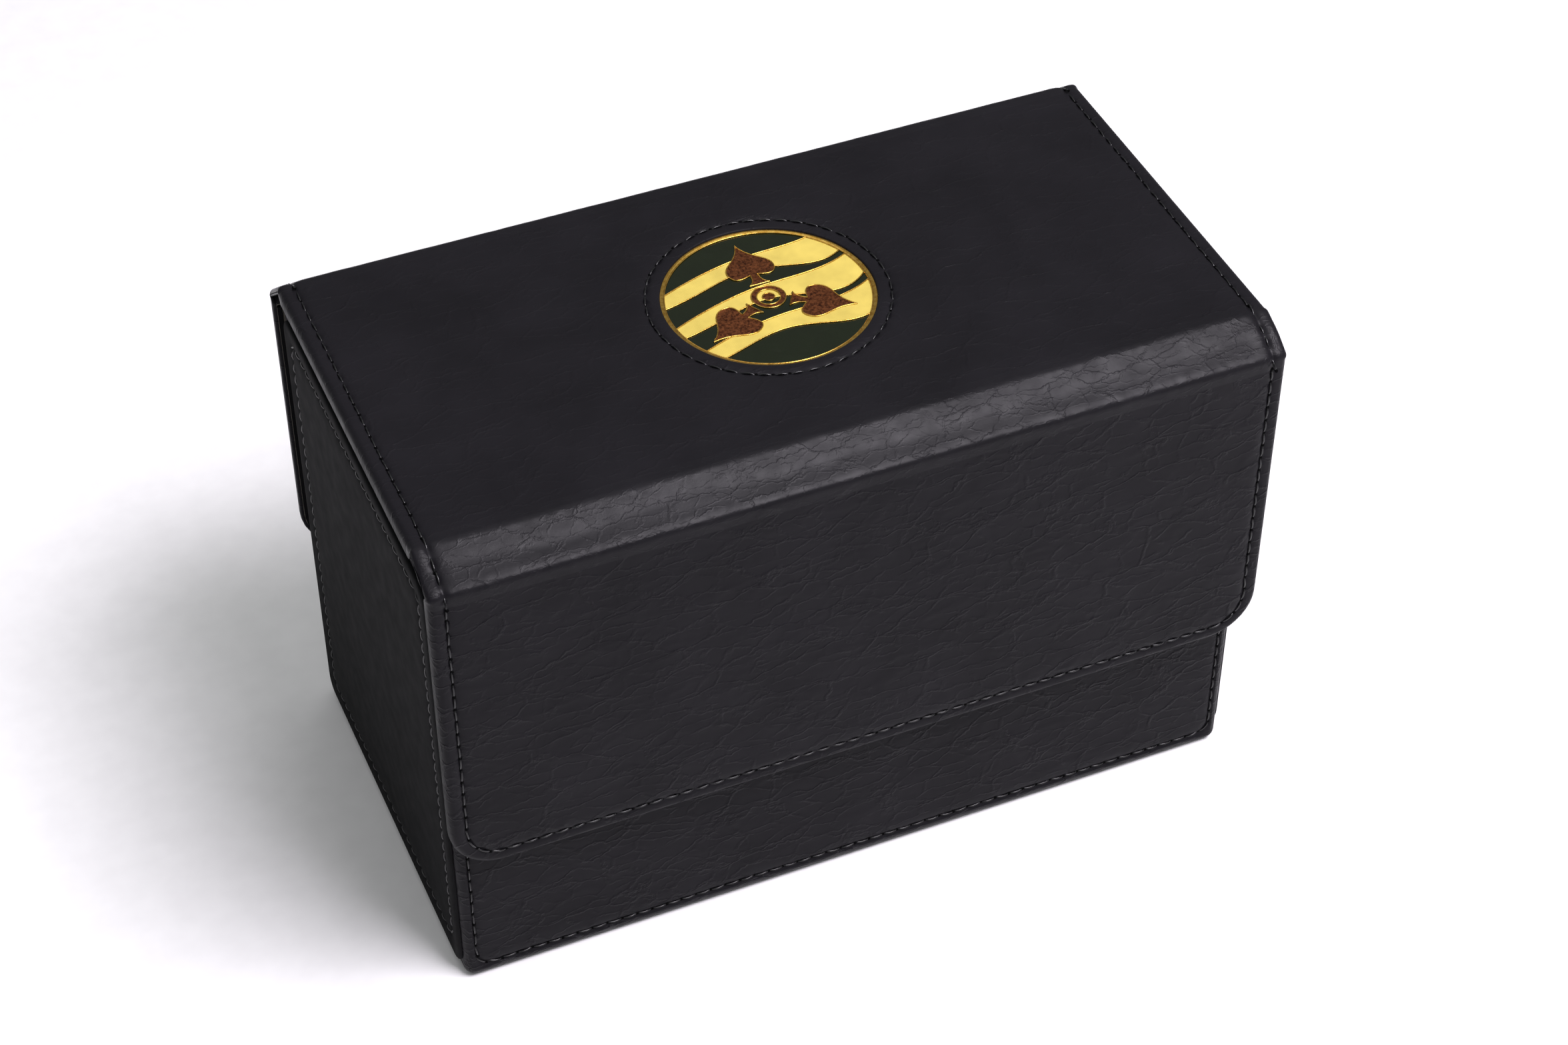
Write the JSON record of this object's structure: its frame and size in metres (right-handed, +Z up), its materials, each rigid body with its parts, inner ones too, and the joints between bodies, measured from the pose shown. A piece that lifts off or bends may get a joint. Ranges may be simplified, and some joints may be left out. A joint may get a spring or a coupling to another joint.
{
  "type": "card deck box",
  "caption": "Rectangular leathercloth deck box for trading cards, with a wrap-over hinged lid, a long front flap closed by hidden magnets, and a coin set in the lid.",
  "frame": {"origin": "centre of the base, on the face that rests on a table", "axes": "+X along the box's length, -Y towards the front flap, +Z up"},
  "size_m": [0.17, 0.0967, 0.1135],
  "materials": {
    "leathercloth": "black crinkled polyurethane leathercloth, satin",
    "leathercloth_smooth": "black smooth polyurethane leathercloth, satin",
    "thread": "black bonded polyester thread",
    "suede_lining": "black microfibre suede",
    "greyboard": "matt grey bookbinding board",
    "magnet": "nickel-plated neodymium",
    "coin_metal": "struck zinc alloy, antique copper with polished gold edges",
    "enamel_pale": "glossy pale yellow soft enamel",
    "enamel_dark": "glossy dark green soft enamel"
  },
  "bodies": {
    "box": {"front_board": "greyboard", "back_board": "greyboard", "left_board": "greyboard", "right_board": "greyboard", "base_board": "greyboard", "body_wrap": "leathercloth", "front_wall_thread": "thread", "back_wall_thread": "thread", "base_cover": "leathercloth", "left_side_cover": "leathercloth_smooth", "right_side_cover": "leathercloth_smooth", "left_side_thread": "thread", "right_side_thread": "thread", "front_lining": "suede_lining", "back_lining": "suede_lining", "left_lining": "suede_lining", "right_lining": "suede_lining", "floor_lining": "suede_lining", "divider": "greyboard", "divider_lining": "suede_lining", "body_magnets": "magnet", "back_flap_cover": "leathercloth", "back_flap_thread": "thread", "back_flap_board": "greyboard"},
    "rear_band": {"rear_hinge_band": "leathercloth", "rear_hinge_lining": "suede_lining", "rear_band_thread": "thread"},
    "lid_top": {"lid_cover": "leathercloth", "lid_board": "greyboard", "lid_lining": "suede_lining", "lid_thread": "thread", "coin_seam_thread": "thread", "coin": "coin_metal", "coin_enamel_pale": "enamel_pale", "coin_enamel_dark": "enamel_dark"},
    "front_band": {"front_hinge_band": "leathercloth", "front_hinge_lining": "suede_lining", "front_band_thread": "thread"},
    "flap": {"flap_cover": "leathercloth", "flap_thread": "thread", "flap_board": "greyboard", "flap_magnets": "magnet", "flap_lining": "suede_lining"}
  },
  "joints": [
    {"name": "rear_lower_crease", "type": "hinge", "parent": "box", "child": "rear_band", "pos_m": [0, 0.047, 0.1069], "axis": [-1, 0, 0], "range_deg": [0, 100]},
    {"name": "rear_upper_crease", "type": "hinge", "parent": "rear_band", "child": "lid_top", "pos_m": [0, 0.039, 0.1135], "axis": [-1, 0, 0], "range_deg": [0, 100]},
    {"name": "front_upper_crease", "type": "hinge", "parent": "lid_top", "child": "front_band", "pos_m": [0, -0.0411, 0.1135], "axis": [-1, 0, 0], "range_deg": [0, 60]},
    {"name": "front_lower_crease", "type": "hinge", "parent": "front_band", "child": "flap", "pos_m": [0, -0.0497, 0.1085], "axis": [-1, 0, 0], "range_deg": [0, 60]}
  ],
  "couplings": [
    {"joint": "rear_upper_crease", "follows": "rear_lower_crease", "ratio": 1},
    {"joint": "front_lower_crease", "follows": "front_upper_crease", "ratio": 1}
  ]
}
